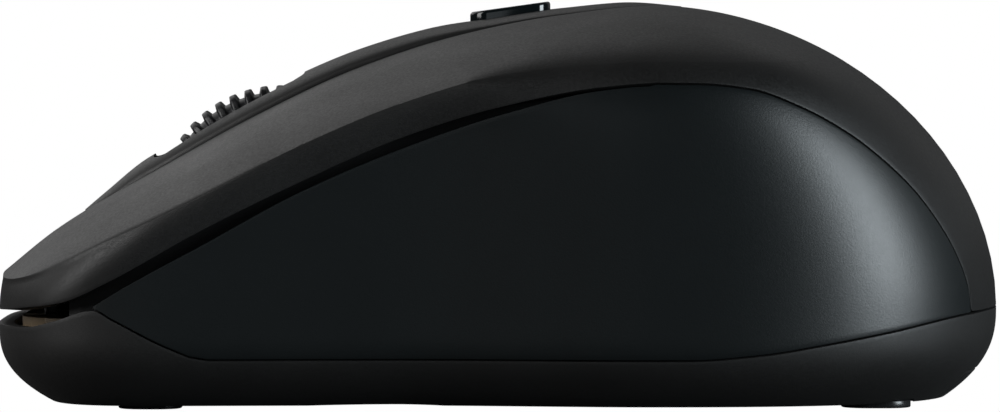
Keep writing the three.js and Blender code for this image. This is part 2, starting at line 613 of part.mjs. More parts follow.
// A pan-head screw standing on its head, with a cross recess
function screw(head, shank, length) {
  const outline = [[0, 0], [head * 0.7, 0], [head, 0.5], [head, 1.1], [shank, 1.1], [shank, length], [0, length + 0.4]];
  const turned = solid(new THREE.LatheGeometry(outline.map(([r, h]) => new THREE.Vector2(r, h)), 10).rotateX(Math.PI / 2));
  const arm = head * 0.55;
  return cut(turned, block(-arm, arm, -0.25, 0.25, -1, 0.55), block(-0.25, 0.25, -arm, arm, -1, 0.55));
}

function addScrews() {
  caseScrews.forEach(([x, y], i) => {
    const length = x < 0 ? 5.6 : 13.5;
    const placed = add(`case_screw_${i + 1}`, screw(2.2, 0.95, length), steel, works);
    placed.position.set(x, y, 1);
  });
  boardScrews.forEach(([x, y], i) => {
    const placed = add(`board_screw_${i + 1}`, screw(1.9, 0.7, 5), steel, works);
    placed.rotation.x = Math.PI;
    placed.position.set(x, y, PCB_Z[1] + 1.25);
  });
}

addBase();
addBatteryDoor();
addSidePanel("left_side_panel", -1);
addSidePanel("right_side_panel", 1);
addPalmCover();
addCentreStrip();
addButton("left_button", -1);
addButton("right_button", 1);
addFeet();
addBoard();
addSwitches();
addWheel();
addWheelSupports();
addDpi();
addSensor();
addElectronics();
addPower();
addBatteries();
addContacts();
addReceiver();
addScrews();

export default mouse;
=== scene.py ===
import json
import math

import bmesh
import bpy
from mathutils import Matrix, Vector


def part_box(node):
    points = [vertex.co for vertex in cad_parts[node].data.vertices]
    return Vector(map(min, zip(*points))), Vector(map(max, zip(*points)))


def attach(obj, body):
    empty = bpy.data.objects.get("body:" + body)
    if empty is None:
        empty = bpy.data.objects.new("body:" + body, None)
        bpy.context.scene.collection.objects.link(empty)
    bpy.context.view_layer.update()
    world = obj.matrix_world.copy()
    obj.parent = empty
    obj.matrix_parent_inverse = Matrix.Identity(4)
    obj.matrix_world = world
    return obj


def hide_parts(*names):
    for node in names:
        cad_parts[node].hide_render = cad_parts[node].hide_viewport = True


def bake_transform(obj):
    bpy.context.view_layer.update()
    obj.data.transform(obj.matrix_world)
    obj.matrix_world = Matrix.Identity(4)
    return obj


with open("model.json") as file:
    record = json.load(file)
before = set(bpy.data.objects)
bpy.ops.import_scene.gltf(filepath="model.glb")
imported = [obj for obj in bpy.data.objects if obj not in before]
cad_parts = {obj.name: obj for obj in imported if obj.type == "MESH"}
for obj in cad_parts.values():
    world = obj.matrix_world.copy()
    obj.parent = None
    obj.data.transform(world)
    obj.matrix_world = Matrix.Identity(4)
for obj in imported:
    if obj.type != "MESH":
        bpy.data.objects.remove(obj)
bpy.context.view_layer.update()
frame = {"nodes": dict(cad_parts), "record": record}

MM = 0.001

# The body's driving dimensions and lines, in millimetres, as the CAD has them
NOSE_X, TAIL_X, JOIN_X, CORNER_X = -49.5, 49.5, 15.0, -28.0
NOSE_POWER, TAIL_POWER, REAR_POWER, CROWN_POWER = 3.2, 2.5, 1.93, 2.2
UNDER_Z, SPINE_Z, WIDEST_Z = 0.5, 39.2, 9.4
FOLD, TUCK_HEIGHT = 3.5, 4.5
STRIP_X, STRIP_HALF = (-41.4, 18.2), 7.2
WHEEL_X, WHEEL_Z, WHEEL_R, WHEEL_HALF, RIBS = -21.9, 19.2, 12.0, 3.6, 46
DPI_X, DPI_LENGTH, DPI_WIDTH, DPI_SLOPE = 1.1, 8.0, 3.8, 0.138
SLOT_HALF = 0.35  # half of the slot between the buttons, ahead of the strip
STRIP_GAP = 0.35  # between the strip and the buttons
SKIN = 1.6  # thickness of the top moulding
EDGE = 0.16  # rounding of a moulding's edges
BAND_POINTS, CROWN_POINTS = 14, 34  # points along a line over the top moulding, each side of the crease
LINE = 0.11  # half of the fine seam between two mouldings


def curve(points):
    """A smooth line through a few points, with no overshoot between them."""
    slopes = [(b[1] - a[1]) / (b[0] - a[0]) for a, b in zip(points, points[1:])]
    tangents = [slopes[0]]
    for before, after in zip(slopes, slopes[1:]):
        tangents.append(0 if before * after <= 0 else 2 * before * after / (before + after))
    tangents.append(0)

    def at(x):
        if x <= points[0][0]:
            return points[0][1]
        if x >= points[-1][0]:
            return points[-1][1]
        i = next(k for k, point in enumerate(points) if point[0] > x) - 1
        width = points[i + 1][0] - points[i][0]
        t = (x - points[i][0]) / width
        rise = (1 + 2 * t) * (1 - t) ** 2 * points[i][1] + t * t * (3 - 2 * t) * points[i + 1][1]
        return rise + width * (t * (1 - t) ** 2 * tangents[i] - t * t * (1 - t) * tangents[i + 1])

    return at


half_width = curve([(-40, 29.8), (-28, 29.4), (-10, 28.7), (4, 30), (JOIN_X, 31)])
spine = curve([(-49.5, 12.6), (-44, 17), (-34, 23), (-24, 28.6), (-14, 33.3), (-4, 36.5), (6, 38.4),
               (JOIN_X, SPINE_Z)])
shoulder = curve([(-49.5, 8), (-46.5, 10.2), (-42.3, 13.4), (-38.3, 16.1), (-28.7, 21), (-19.1, 25.8),
                  (-9.5, 29.8), (0.1, 32.6), (9.7, 34), (JOIN_X, 34.3)])
button_edge = curve([(-49.5, 9.3), (-46.6, 9.9), (-42.3, 10.6), (-38.3, 12.3), (-28.7, 17.6), (-19.1, 22.3),
                     (-9.5, 26.5), (0.1, 29.5), (9.7, 31.4), (JOIN_X, 31.8)])
grip_edge = curve([(-39, 10.3), (-35.9, 12.2), (-28.7, 16.1), (-19.1, 21.3), (-9.5, 25.4), (0.1, 28.7),
                   (9.7, 31.05), (JOIN_X, 31.5)])
tail_seam = curve([(JOIN_X, 31.75), (19.3, 31.7), (24.1, 31.2), (28.9, 29.5), (33.8, 26.8), (37.2, 24.2),
                   (40.3, 21.2), (43.2, 17.3), (44.9, 14.1), (45.8, 11.4), (46.1, 9.3), (46.4, 9.3)])
base_seam = curve([(-50, 8.1), (-46, 8.2), (-43, 8.9), (-39.1, 10), (-37.2, 9.05), (-31.4, 6.15), (-28.4, 5.15),
                   (18.4, 5.2), (25.2, 5.7), (31.1, 6.6), (37, 7.6), (46.1, 9.2), (50, 9.45)])
strip_rise = curve([(-41.4, 0.1), (-39.4, 0.6), (-35, 1.6), (-25, 1.75), (-15, 1.55), (-7, 1.2), (0, 0.65),
                    (6, 0.5), (12, 0.4), (18.2, 0.05)])

fold_depth = curve([(-49.5, 0.35), (-46.5, 0.7), (-43, 1.2), (-38, 1.2), (-33, 0.9), (-22, 0.5), (JOIN_X, 0.5)])
tuck_depth = curve([(-47, 0), (-38, 0.5), (-24, 0.8), (-6, 0.8), (12, 0), (JOIN_X, 0)])


def superellipse(t, power):
    return max(0.0, 1 - abs(t) ** power) ** (1 / power)


def smooth(t):
    t = min(1.0, max(0.0, t))
    return t * t * (3 - 2 * t)


def top_height(x, y):
    edge = half_width(x) - fold_depth(x)
    return spine(x) - (spine(x) - shoulder(x)) * (abs(y) / edge) ** CROWN_POWER


def spine_height(x):
    if x <= JOIN_X:
        return spine(x)
    return WIDEST_Z + (SPINE_Z - WIDEST_Z) * superellipse((x - JOIN_X) / (TAIL_X - JOIN_X), REAR_POWER)


def under_inset(z, reach, power):
    low = UNDER_Z + reach
    return 5 * ((low - z) / reach) ** power if z < low else 0


def wall_inset(x, z, top):
    fold = fold_depth(x) * ((z - top + FOLD) / FOLD) ** 2 if z > top - FOLD else 0
    tuck = tuck_depth(x) * smooth((top - z) / TUCK_HEIGHT)
    return under_inset(z, 7, 2.6) + fold + tuck


# A station is one line over the skin on the left side, from the underside's edge up to the middle of the back:
# the wall up to the shoulder's crease, then the crown.
WALL_COUNT, CROWN_COUNT = 70, 44


def front_station(x, outline_y, outward):
    top = top_height(x, max(0.0, outline_y - fold_depth(x)))
    wall = []
    for i in range(WALL_COUNT):
        share = i / (WALL_COUNT - 1)
        z = UNDER_Z + (top - UNDER_Z) * (0.55 * share + 0.45 * (1 - math.cos(math.pi * share)) / 2)
        depth = wall_inset(x, z, top)
        wall.append((x - depth * outward[0], max(0.0, outline_y - depth * outward[1]), z))
    edge = wall[-1]
    crown = [(edge[0], edge[1] * (1 - k / CROWN_COUNT), 0) for k in range(1, CROWN_COUNT + 1)]
    crown = [(cx, cy, top_height(cx, cy)) for cx, cy, _ in crown]
    wall[-1] = (edge[0], edge[1], top_height(edge[0], edge[1]))
    return soften(wall + crown, smooth((x + 4) / 19))


def soften(points, amount):
    """Rounds the shoulder's crease away, more so towards the tail."""
    passes = int(160 * amount)
    points = [list(p) for p in points]
    first, last = WALL_COUNT - 26, WALL_COUNT + 22
    for _ in range(passes):
        before = [p[:] for p in points[first - 1:last + 1]]
        for k in range(first, last):
            j = k - first + 1
            fade = min(1.0, (k - first + 1) / 10, (last - k) / 10)
            for axis in (1, 2):
                mean = (before[j - 1][axis] + before[j + 1][axis]) / 2
                points[k][axis] += 0.5 * fade * (mean - points[k][axis])
    return [tuple(p) for p in points]


JOIN = front_station(JOIN_X, half_width(JOIN_X), (0, 1))


def tail_station(angle):
    reach = TAIL_X - JOIN_X
    station = []
    for _, side, z in JOIN:
        level = min(1.0, max(0.0, (z - WIDEST_Z) / (SPINE_Z - WIDEST_Z)))
        lower = under_inset(z, 8.5, 2.4) if z < WIDEST_Z else 0
        length = max(0.0, reach * superellipse(level, REAR_POWER) - lower)
        power = 2 + (TAIL_POWER - 2) * min(1.0, (SPINE_Z - z) / 5)
        back = max(0.0, math.cos(angle)) ** (2 / power)
        aside = math.sin(angle) ** (2 / power)
        station.append((JOIN_X + length * back, side * aside, z))
    return station


def make_stations():
    stations = []
    reach = CORNER_X - NOSE_X
    steps = 84
    for i in range(steps):
        angle = i / steps * math.pi / 2
        back, aside = math.cos(angle) ** (2 / NOSE_POWER), math.sin(angle) ** (2 / NOSE_POWER)
        x = CORNER_X - reach * back
        normal = Vector((-back ** (NOSE_POWER - 1) / reach, aside ** (NOSE_POWER - 1) / 29.4)).normalized()
        stations.append(front_station(x, half_width(x) * aside, normal))
    count = 70
    for i in range(count):
        x = CORNER_X + (JOIN_X - CORNER_X) * i / count
        stations.append(front_station(x, half_width(x), (0, 1)))
    front = len(stations)
    angle = 90.0
    while angle > 0:
        stations.append(tail_station(math.radians(angle)))
        angle -= 0.5 if 20 < angle <= 36 else 1.0
    stations.append(tail_station(0))
    return stations, front


STATIONS, FRONT_COUNT = make_stations()


def crossing(points, height):
    """Where a run of points first rises through the line z = height(x), as a place along it."""
    for i in range(len(points) - 1):
        a = points[i][2] - height(points[i][0])
        b = points[i + 1][2] - height(points[i + 1][0])
        if a <= 0 < b:
            return i + a / (a - b)
    return None


def place(points, at):
    i = min(int(at), len(points) - 2)
    t = at - i
    return tuple(points[i][k] + (points[i + 1][k] - points[i][k]) * t for k in range(3))


def run(points, start, end, count):
    """count points spread evenly along the line between two places on it."""
    inner = [place(points, start)] + [points[i] for i in range(int(start) + 1, int(math.ceil(end)))]
    inner.append(place(points, end))
    lengths = [0.0]
    for a, b in zip(inner, inner[1:]):
        lengths.append(lengths[-1] + math.dist(a, b))
    spread = []
    k = 0
    for i in range(count):
        want = lengths[-1] * i / (count - 1)
        while k < len(inner) - 2 and lengths[k + 1] < want:
            k += 1
        span = lengths[k + 1] - lengths[k]
        t = 0 if span < 1e-9 else min(1.0, (want - lengths[k]) / span)
        spread.append(tuple(inner[k][n] + (inner[k + 1][n] - inner[k][n]) * t for n in range(3)))
    return spread


# Making meshes


def new_object(name, mesh):
    obj = bpy.data.objects.new(name, mesh)
    bpy.context.scene.collection.objects.link(obj)
    return obj


def mesh_object(name, vertices, faces, scale=MM):
    mesh = bpy.data.meshes.new(name)
    mesh.from_pydata([[c * scale for c in v] for v in vertices], [], faces)
    mesh.validate()
    return new_object(name, mesh)


def weld(obj, distance=2e-6):
    bm = bmesh.new()
    bm.from_mesh(obj.data)
    bmesh.ops.remove_doubles(bm, verts=bm.verts, dist=distance)
    bmesh.ops.dissolve_degenerate(bm, edges=bm.edges, dist=1e-7)
    bm.to_mesh(obj.data)
    bm.free()


def face_outwards(obj, centre=(0, 0, 12)):
    """An open sheet gets its normals pointing away from the middle of the body."""
    bm = bmesh.new()
    bm.from_mesh(obj.data)
    bmesh.ops.recalc_face_normals(bm, faces=bm.faces)
    middle = Vector(centre) * MM
    balance = sum((f.calc_center_median() - middle).dot(f.normal) * f.calc_area() for f in bm.faces)
    if balance < 0:
        bmesh.ops.reverse_faces(bm, faces=bm.faces)
    bm.to_mesh(obj.data)
    bm.free()


def sheet(name, *grids, mirror=False, both=False):
    """A sheet from grids of points; mirror puts it on the right side, both makes it span the two sides."""
    vertices, faces = [], []
    for sign in ((-1, 1) if both else ((1,) if mirror else (-1,))):
        for rows in grids:
            start = len(vertices)
            columns = len(rows[0])
            for row in rows:
                vertices.extend((x, sign * y, z) for x, y, z in row)
            for i in range(len(rows) - 1):
                for j in range(columns - 1):
                    a = start + i * columns + j
                    quad = (a, a + columns, a + columns + 1, a + 1)
                    faces.append(quad if sign < 0 else quad[::-1])
    obj = mesh_object(name, vertices, faces)
    weld(obj)
    face_outwards(obj)
    return obj


def modify(obj, kind, **values):
    modifier = obj.modifiers.new(kind.title(), kind)
    for key, value in values.items():
        setattr(modifier, key, value)
    return modifier


def apply_all(obj):
    graph = bpy.context.evaluated_depsgraph_get()
    mesh = bpy.data.meshes.new_from_object(obj.evaluated_get(graph))
    obj.modifiers.clear()
    obj.data = mesh
    return obj


def shade(obj, angle=35):
    obj.data.polygons.foreach_set("use_smooth", [True] * len(obj.data.polygons))
    bm = bmesh.new()
    bm.from_mesh(obj.data)
    for edge in bm.edges:
        edge.smooth = not (len(edge.link_faces) == 2 and edge.calc_face_angle(0) > math.radians(angle))
    bm.to_mesh(obj.data)
    bm.free()
    return obj


def thicken(obj, thickness, bevel):
    modify(obj, "SOLIDIFY", thickness=thickness * MM, offset=-1, use_rim=True)
    if bevel:
        modify(obj, "BEVEL", width=bevel * MM, segments=2, limit_method="ANGLE", angle_limit=math.radians(55),
               use_clamp_overlap=True)
    apply_all(obj)
    return shade(obj)


def cut(obj, *cutters):
    for cutter in cutters:
        modify(obj, "BOOLEAN", operation="DIFFERENCE", object=cutter, solver="MANIFOLD")
        apply_all(obj)
        bpy.data.objects.remove(cutter)
    return obj


def prism(name, outline, z0, z1):
    count = len(outline)
    vertices = [(x, y, z0) for x, y in outline] + [(x, y, z1) for x, y in outline]
    faces = [tuple(range(count))[::-1], tuple(range(count, 2 * count))]
    faces += [(i, (i + 1) % count, count + (i + 1) % count, count + i) for i in range(count)]
    return mesh_object(name, vertices, faces)


def rounded(x, y, length, width, radius, steps=8):
    outline = []
    for cx, cy, turn in ((1, 1, 0), (-1, 1, 90), (-1, -1, 180), (1, -1, 270)):
        for k in range(steps + 1):
            angle = math.radians(turn + 90 * k / steps)
            outline.append((x + cx * (length / 2 - radius) + radius * math.cos(angle),
                            y + cy * (width / 2 - radius) + radius * math.sin(angle)))
    return outline


def rod(name, start, end, radius, sides=48):
    start, end = Vector(start), Vector(end)
    mesh = bpy.data.meshes.new(name)
    bm = bmesh.new()
    bmesh.ops.create_cone(bm, cap_ends=True, segments=sides, radius1=radius, radius2=radius,
                          depth=(end - start).length)
    turn = (end - start).to_track_quat("Z", "Y").to_matrix().to_4x4()
    bm.transform(Matrix.Scale(MM, 4) @ Matrix.Translation((start + end) / 2) @ turn)
    bm.to_mesh(mesh)
    bm.free()
    return new_object(name, mesh)


def bevelled(obj, width, segments=3, angle=40):
    modify(obj, "BEVEL", width=width * MM, segments=segments, limit_method="ANGLE",
           angle_limit=math.radians(angle))
    apply_all(obj)
    return shade(obj, 50)


# Materials


def plastic(name, color, roughness, grain=0.02, grain_size=0.16, variation=0.12, mottling=0.06, **shader):
    """Moulded plastic: a fine spark-eroded grain, slightly uneven gloss and a little colour drift."""
    material = bpy.data.materials.new(name)
    material.use_nodes = True
    nodes, links = material.node_tree.nodes, material.node_tree.links
    bsdf = nodes["Principled BSDF"]
    for key, value in shader.items():
        bsdf.inputs[key.replace("_", " ")].default_value = value
    where = nodes.new("ShaderNodeTexCoord")

    def noise(size, detail, rough=0.5):
        node = nodes.new("ShaderNodeTexNoise")
        node.inputs["Scale"].default_value = 1 / (size * MM)
        node.inputs["Detail"].default_value = detail
        node.inputs["Roughness"].default_value = rough
        links.new(where.outputs["Object"], node.inputs["Vector"])
        return node.outputs["Fac"]

    def spread(source, low, high):
        node = nodes.new("ShaderNodeMapRange")
        node.inputs["From Min"].default_value = 0.3
        node.inputs["From Max"].default_value = 0.7
        node.inputs["To Min"].default_value = low
        node.inputs["To Max"].default_value = high
        links.new(source, node.inputs["Value"])
        return node.outputs["Result"]

    broad = noise(9, 3)
    mix = nodes.new("ShaderNodeMix")
    mix.data_type = "RGBA"
    mix.inputs["A"].default_value = (*[c * (1 - mottling * 2) for c in color], 1)
    mix.inputs["B"].default_value = (*[c * (1 + mottling * 2) for c in color], 1)
    links.new(broad, mix.inputs["Factor"])
    links.new(mix.outputs["Result"], bsdf.inputs["Base Color"])
    gloss = nodes.new("ShaderNodeMath")
    gloss.operation = "ADD"
    links.new(spread(noise(grain_size * 1.7, 2), -variation * 0.5, variation * 0.5), gloss.inputs[0])
    links.new(spread(broad, roughness - variation * 0.3, roughness + variation * 0.3), gloss.inputs[1])
    links.new(gloss.outputs["Value"], bsdf.inputs["Roughness"])
    if grain:
        bump = nodes.new("ShaderNodeBump")
        bump.inputs["Strength"].default_value = 1.0
        bump.inputs["Distance"].default_value = grain * MM
        links.new(noise(grain_size, 3, 0.6), bump.inputs["Height"])
        links.new(bump.outputs["Normal"], bsdf.inputs["Normal"])
    return material


MATERIALS = {
    "matte_shell": plastic("shell_matte", (0.008, 0.0078, 0.0076), 0.5, grain=0.014),
    "satin_grip": plastic("grip_satin", (0.0032, 0.0055, 0.0062), 0.4, grain=0.012, grain_size=0.2, variation=0.03),
    "base_black": plastic("base_black", (0.0075, 0.0073, 0.007), 0.58, grain=0.012),
    "gloss_black": plastic("button_gloss", (0.005, 0.008, 0.009), 0.1, grain=0, variation=0.03),
    "tyre_rubber": plastic("tyre_rubber", (0.01, 0.0105, 0.012), 0.38, grain=0.01, grain_size=0.1),
    "inner_plastic": plastic("inner_plastic", (0.004, 0.004, 0.0045), 0.6, grain=0.008),
    "white_plastic": plastic("white_plastic", (0.6, 0.58, 0.52), 0.45, grain=0.006),
    "red_plastic": plastic("red_plastic", (0.45, 0.035, 0.025), 0.35, grain=0.004),
    "board": plastic("board_laminate", (0.2, 0.15, 0.095), 0.35, grain=0.01, grain_size=0.3, mottling=0.15),
    "steel": plastic("plain_steel", (0.55, 0.55, 0.56), 0.3, grain=0.004, grain_size=0.25, Metallic=1.0),
    "battery_skin": plastic("battery_sleeve", (0.03, 0.09, 0.18), 0.25, grain=0.002, Coat_Weight=0.4),
    "foot": plastic("foot_pad", (0.012, 0.012, 0.013), 0.3, grain=0.004),
    "clear": plastic("clear_lens", (0.9, 0.93, 0.95), 0.06, grain=0, variation=0.02, Transmission_Weight=0.9),
}


def dress(obj, slot):
    obj.data.materials.clear()
    obj.data.materials.append(MATERIALS[slot])


def make_piece(obj, slot, body, *replaced):
    dress(obj, slot)
    if body:
        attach(obj, body)
    if replaced:
        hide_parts(*replaced)
    return obj


# The top moulding


def strip_half(x, grow=0.0):
    middle = (STRIP_X[0] + STRIP_X[1]) / 2
    length = (STRIP_X[1] - STRIP_X[0]) / 2 + grow
    return (STRIP_HALF + grow) * superellipse((x - middle) / length, 2.4) if abs(x - middle) < length else 0.0


def top_edge(x):
    """The lower edge of the top moulding, from the nose round to the tail."""
    if x < JOIN_X:
        return button_edge(x)
    return max(tail_seam(x) + LINE, base_seam(x) + LINE)


def groove(x):
    return 0.07 * smooth((x + 47) / 4) * (1 - smooth((x + 30) / 12))


def top_row(station, inner):
    """One line over the top moulding: its band, the fine groove at the crease, then the crown."""
    start = crossing(station, top_edge)
    if start is None:
        return None
    crease = WALL_COUNT - 1
    start = min(start, crease - 0.5)
    end = len(station) - 1.0
    while end > crease + 1 and station[int(end)][1] < inner and station[int(end) - 1][1] < inner:
        end -= 1
    low, high = station[int(end) - 1][1], station[int(end)][1]
    if high < inner < low:
        end -= (inner - high) / (low - high)
    return run(station, start, crease, BAND_POINTS) + run(station, crease, end, CROWN_POINTS)[1:]


def top_sheet_rows(stations, inner_of):
    rows = []
    for station in stations:
        edge_y = station[WALL_COUNT - 1][1]
        x = station[-1][0]
        inner = inner_of(x)
        if edge_y < inner + 0.05:
            continue
        row = top_row(station, inner)
        if row:
            rows.append(row)
    return rows


def carve_groove(rows):
    """Sinks the crease line a little into the skin, along the fold."""
    carved = []
    for row in rows:
        depth = groove(row[BAND_POINTS - 1][0])
        a, b, c = (Vector(row[k]) for k in range(BAND_POINTS - 2, BAND_POINTS + 1))
        inward = ((a - b).normalized() + (c - b).normalized())
        down = Vector((0, -0.6 if row[BAND_POINTS - 1][1] else 0, -0.8))
        out = list(row)
        near_a, near_c = (b + (p - b) * min(0.5, 0.2 / max((p - b).length, 1e-6)) for p in (a, c))
        sunk = b + (inward.normalized() if inward.length > 1e-3 else down) * depth
        out[BAND_POINTS - 1:BAND_POINTS] = [tuple(near_a), tuple(sunk), tuple(near_c)]
        carved.append(out)
    return carved


def button_inner(x):
    return max(SLOT_HALF, strip_half(x, STRIP_GAP))


def end_at_join(obj, keep):
    """Trims a top moulding flush at JOIN_X, where the next one carries on without a seam."""
    bm = bmesh.new()
    bm.from_mesh(obj.data)
    bmesh.ops.bisect_plane(bm, geom=bm.verts[:] + bm.edges[:] + bm.faces[:], dist=1e-8,
                           plane_co=(JOIN_X * MM, 0, 0), plane_no=(-keep, 0, 0), clear_outer=True)
    bm.to_mesh(obj.data)
    bm.free()
    shade(obj)


def front_face(row, inner):
    """The part of the front face between the slot and the first line over the skin."""
    crease = BAND_POINTS
    start = row[crease][1]
    columns = []
    for point in row[crease:]:
        share = (point[1] - inner) / (start - inner)
        columns.append([(x, inner + (y - inner) * share, z) for x, y, z in row[:crease]] + [point])
    return columns


def make_buttons():
    rows = carve_groove(top_sheet_rows(STATIONS[:FRONT_COUNT + 12], button_inner))
    face = front_face(rows[0], SLOT_HALF)
    for side, name in ((-1, "left_button"), (1, "right_button")):
        skin = sheet(name + "_cover", rows, face, mirror=side > 0)
        thicken(skin, SKIN, EDGE)
        end_at_join(skin, -1)
        dress(skin, "matte_shell")
        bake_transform(skin)
        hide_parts(name)


def make_button_details():
    """Under each button: the catch that shows in the nose gap, and the block that presses the switch."""
    for side, name in ((-1, "left_button"), (1, "right_button")):
        for x, y, length, width, low in ((-43.85, 10, 1.9, 2.0, 6.3), (-33.2, 16, 2.0, 3.6, 16.3)):
            part = prism(name + "_catch", rounded(x, side * y, length, width, 0.3, 3), low, top_height(x, y) - 1.2)
            bevelled(part, 0.15, 2)
            make_piece(part, "gloss_black", name)


def make_palm():
    rows = [top_row(station, 0.0) for station in STATIONS[FRONT_COUNT - 4:]]
    rows = carve_groove([row for row in rows if row])
    skin = sheet("palm_skin", rows, both=True)
    thicken(skin, SKIN, EDGE)
    end_at_join(skin, 1)
    make_piece(skin, "matte_shell", "shell", "palm_cover")


# The side grips and the base


def make_grips():
    def low(x):
        return base_seam(x) + LINE

    def high(x):
        return grip_edge(x) if x < JOIN_X else tail_seam(x) - LINE

    rows = []
    for station in STATIONS:
        wall = station[:WALL_COUNT]
        start, end = crossing(wall, low), crossing(wall, high)
        if start is None or end is None or end <= start + 0.02:
            continue
        if place(wall, start)[0] < -39.0:
            continue
        rows.append(run(wall, start, end, 46))
    for side, name in ((-1, "left_side_panel"), (1, "right_side_panel")):
        skin = sheet(name + "_skin", rows, mirror=side > 0)
        thicken(skin, 1.5, 0.14)
        make_piece(skin, "satin_grip", "shell", name)


def make_base():
    rows = []
    for station in STATIONS:
        end = crossing(station, lambda x: base_seam(x) - LINE)
        edge = station[0]
        middle = [(edge[0], edge[1] * k / 10, edge[2]) for k in range(10)]
        rows.append(middle + run(station, 0, end, 24))
    skin = sheet("base_skin", rows, both=True)
    thicken(skin, 1.5, 0.14)
    tools = [prism("door_cut", rounded(28.5, 0, 63.6, 25.6, 0.8), -2, 3.45),
             prism("eye_cut", rounded(-8, 0, 7, 9, 2), -1, 6),
             prism("slide_cut", rounded(-13.3, 16, 10, 4.2, 1), -1, 5),
             prism("stow_cut", rounded(-14.5, -15.5, 19.8, 15.3, 1), -1, 6)]
    for name, x, y, length, width in feet():
        tools.append(prism("foot_cut", rounded(x, y, length + 0.6, width + 0.6, 2.8), -1, 0.78))
    for x, y in ((-41.5, 0), (26, -17), (26, 17)):
        tools.append(rod("screw_cut", (x, y, -1), (x, y, 6), 2.6, 32))
    cut(skin, *tools)
    shade(skin)
    make_piece(skin, "base_black", "shell", "base_shell")


def feet():
    for name in ("front_left_foot", "front_right_foot", "rear_left_foot", "rear_right_foot"):
        low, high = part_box(name)
        middle = [(low[k] + high[k]) / 2 / MM for k in range(2)]
        yield name, *middle, (high[0] - low[0]) / MM, (high[1] - low[1]) / MM


def make_feet():
    for name, x, y, length, width in feet():
        pad = prism(name + "_pad", rounded(x, y, length, width, 2.6, 12), 0, 0.76)
        bevelled(pad, 0.16)
        make_piece(pad, "foot", "shell", name)


def make_door():
    """The door's plate and its turned-up lip follow the underside and the tail of the base."""
    half, steps = 12.45, 60
    columns = []
    for n in range(13):
        y = half * (1 - n / 12)
        lip = []
        for k in range(13):
            z = UNDER_Z + (3.15 - UNDER_Z) * k / 12
            length = (TAIL_X - JOIN_X) - under_inset(z, 8.5, 2.4)
            lip.append((JOIN_X + length * superellipse(y / join_half(z), TAIL_POWER), y, z))
        plate = [(-3 + (lip[0][0] + 3) * k / steps, y, UNDER_Z) for k in range(steps)]
        columns.append(plate + lip)
    rows = [list(row) for row in zip(*columns)]
    skin = sheet("battery_door_skin", rows, both=True)
    thicken(skin, 1.4, 0.12)
    grips = [prism("grip_cut", rounded(34.3 + k * 1.6, 0, 0.8, 10, 0.39), -1, 0.85) for k in range(5)]
    cut(skin, *grips)
    shade(skin)
    make_piece(skin, "base_black", "battery_door", "battery_door")


def join_half(z):
    return half_width(JOIN_X) - under_inset(z, 7, 2.6)


# The strip, the wheel and the small button


def make_strip():
    """The ridge is made solid, then opened for the wheel and the pill button."""
    steps = 110
    middle, length = (STRIP_X[0] + STRIP_X[1]) / 2, (STRIP_X[1] - STRIP_X[0]) / 2
    profile = [1, 0.997, 0.985, 0.96, 0.92, 0.86, 0.78, 0.68, 0.57, 0.45, 0.33, 0.22, 0.11, 0]
    vertices, faces = [], []
    for i in range(steps + 1):
        x = middle - length * 0.9995 * math.cos(math.pi * i / steps)
        half, low = strip_half(x), spine_height(x) - 1.75
        over = [(half * share, spine_height(x) - 0.25 * share ** 2 + strip_rise(x) * superellipse(share, 2.4))
                for share in profile]
        ring = [(-y, z) for y, z in over] + [(y, z) for y, z in over[-2::-1]]
        vertices += [(x, -half, low)] + [(x, y, z) for y, z in ring] + [(x, half, low)]
    count = len(profile) * 2 + 1
    for i in range(steps):
        for j in range(count):
            k = (j + 1) % count
            faces.append((i * count + j, i * count + k, (i + 1) * count + k, (i + 1) * count + j))
    faces += [tuple(range(count)), tuple(range(steps * count, (steps + 1) * count))[::-1]]
    ridge = mesh_object("centre_strip_skin", vertices, faces)
    bm = bmesh.new()
    bm.from_mesh(ridge.data)
    bmesh.ops.recalc_face_normals(bm, faces=bm.faces)
    bm.to_mesh(ridge.data)
    bm.free()
    cut(ridge,
        prism("mouth_cut", rounded(-26.9, 0, 15.0, 8.8, 1.6), 10, 60),
        rod("well_cut", (WHEEL_X, -4.4, WHEEL_Z), (WHEEL_X, 4.4, WHEEL_Z), WHEEL_R + 0.7, 96),
        prism("pill_cut", rounded(DPI_X, 0, DPI_LENGTH + 0.5, DPI_WIDTH + 0.5, DPI_WIDTH / 2 + 0.24), 20, 50))
    shade(ridge, 30)
    make_piece(ridge, "matte_shell", "shell", "centre_strip")


def make_tyre():
    """Ribs with rounded tops run across the crowned tread and fade out down its shoulders."""
    steps = 16
    around, across = RIBS * steps, 28
    vertices, faces = [], []
    profile = []
    for k in range(across + 1):
        t = -1 + 2 * k / across
        crown = 1 - abs(t) ** 5
        profile.append((t * WHEEL_HALF, WHEEL_R - 0.65 - 1.5 * (1 - crown), smooth((1 - abs(t)) / 0.16)))
    for i in range(around):
        angle = 2 * math.pi * i / around
        aside = abs((i % steps) / steps - 0.5) * 2
        rib = smooth((0.66 - aside) / 0.34)
        for y, radius, share in profile:
            r = radius + 0.65 * rib * share
            vertices.append((WHEEL_X + r * math.cos(angle), y, WHEEL_Z + r * math.sin(angle)))
        for y in (WHEEL_HALF, -WHEEL_HALF):
            vertices.append((WHEEL_X + 9.2 * math.cos(angle), y, WHEEL_Z + 9.2 * math.sin(angle)))
    ring = across + 3
    for i in range(around):
        j = (i + 1) % around
        for k in range(ring):
            n = (k + 1) % ring
            faces.append((i * ring + k, i * ring + n, j * ring + n, j * ring + k))
    tyre = mesh_object("ribbed_tyre", vertices, faces)
    bm = bmesh.new()
    bm.from_mesh(tyre.data)
    bmesh.ops.recalc_face_normals(bm, faces=bm.faces)
    bm.to_mesh(tyre.data)
    bm.free()
    shade(tyre, 50)
    make_piece(tyre, "tyre_rubber", "wheel", "wheel_tyre")


